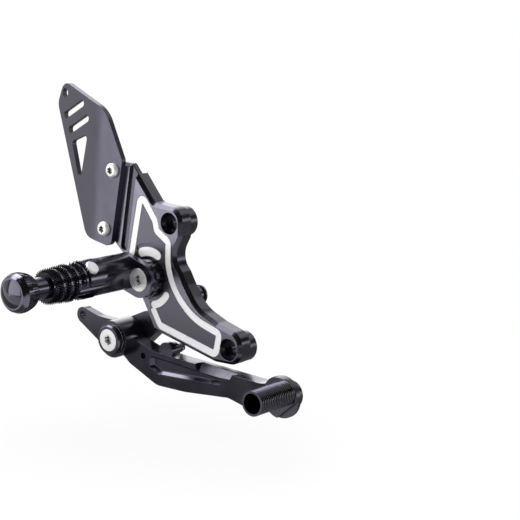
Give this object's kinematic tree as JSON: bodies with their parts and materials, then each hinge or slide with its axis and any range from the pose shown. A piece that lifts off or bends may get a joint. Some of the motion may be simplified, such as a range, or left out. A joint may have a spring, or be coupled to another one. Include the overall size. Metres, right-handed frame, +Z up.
{
  "type": "rear-set footrest",
  "caption": "Motorbike rear-set footrest for the brake side: milled bracket with heel guard, folding knurled peg on an eccentric carrier, and a sprung foot lever with a ribbed toe piece.",
  "frame": {"origin": "midway between the two frame bolt holes, on the face that meets the motorbike's frame", "axes": "+X forward on the motorbike, +Y inboard along the frame bolts, +Z up"},
  "size_m": [0.2263, 0.1331, 0.2059],
  "materials": {
    "anodised_black": "gloss black anodised, with bare milled accent lines on the bracket",
    "satin_black": "satin black anodised sheet",
    "knurled_black": "black anodised, knurled or ribbed",
    "stainless": "bright stainless steel",
    "spring_steel": "plain spring steel wire",
    "bearing_steel": "ground steel"
  },
  "bodies": {
    "bracket": {"base_bracket": "anodised_black", "heel_guard": "satin_black", "heel_guard_screws": "stainless", "peg_carrier": "anodised_black", "carrier_bolt": "stainless", "pivot_sleeve": "bearing_steel", "pivot_washer": "anodised_black", "pivot_bolt": "stainless", "spring_post": "anodised_black", "return_spring": "spring_steel"},
    "lever": {"brake_lever": "anodised_black", "lever_bearings": "bearing_steel", "toe_peg": "knurled_black", "toe_peg_bolt": "stainless", "lever_spring_pin": "anodised_black"},
    "peg": {"footpeg": "knurled_black", "peg_hinge_pin": "stainless", "hinge_clip": "spring_steel", "peg_return_spring": "spring_steel", "peg_end_knob": "knurled_black", "knob_bolt": "stainless", "peg_end_cap": "anodised_black"}
  },
  "joints": [
    {"name": "lever_pivot", "type": "hinge", "parent": "bracket", "child": "lever", "pos_m": [-0.0675, -0.024, -0.0438], "axis": [0, 1, 0], "range_deg": [0, 12], "stiffness_Nm_per_rad": 1, "springref_deg": -17.19, "deforming": ["return_spring"]},
    {"name": "peg_fold", "type": "hinge", "parent": "bracket", "child": "peg", "pos_m": [-0.0585, -0.068, 0.005], "axis": [-0.7071, 0, -0.7071], "range_deg": [0, 85], "stiffness_Nm_per_rad": 0.15, "springref_deg": -28.65}
  ]
}
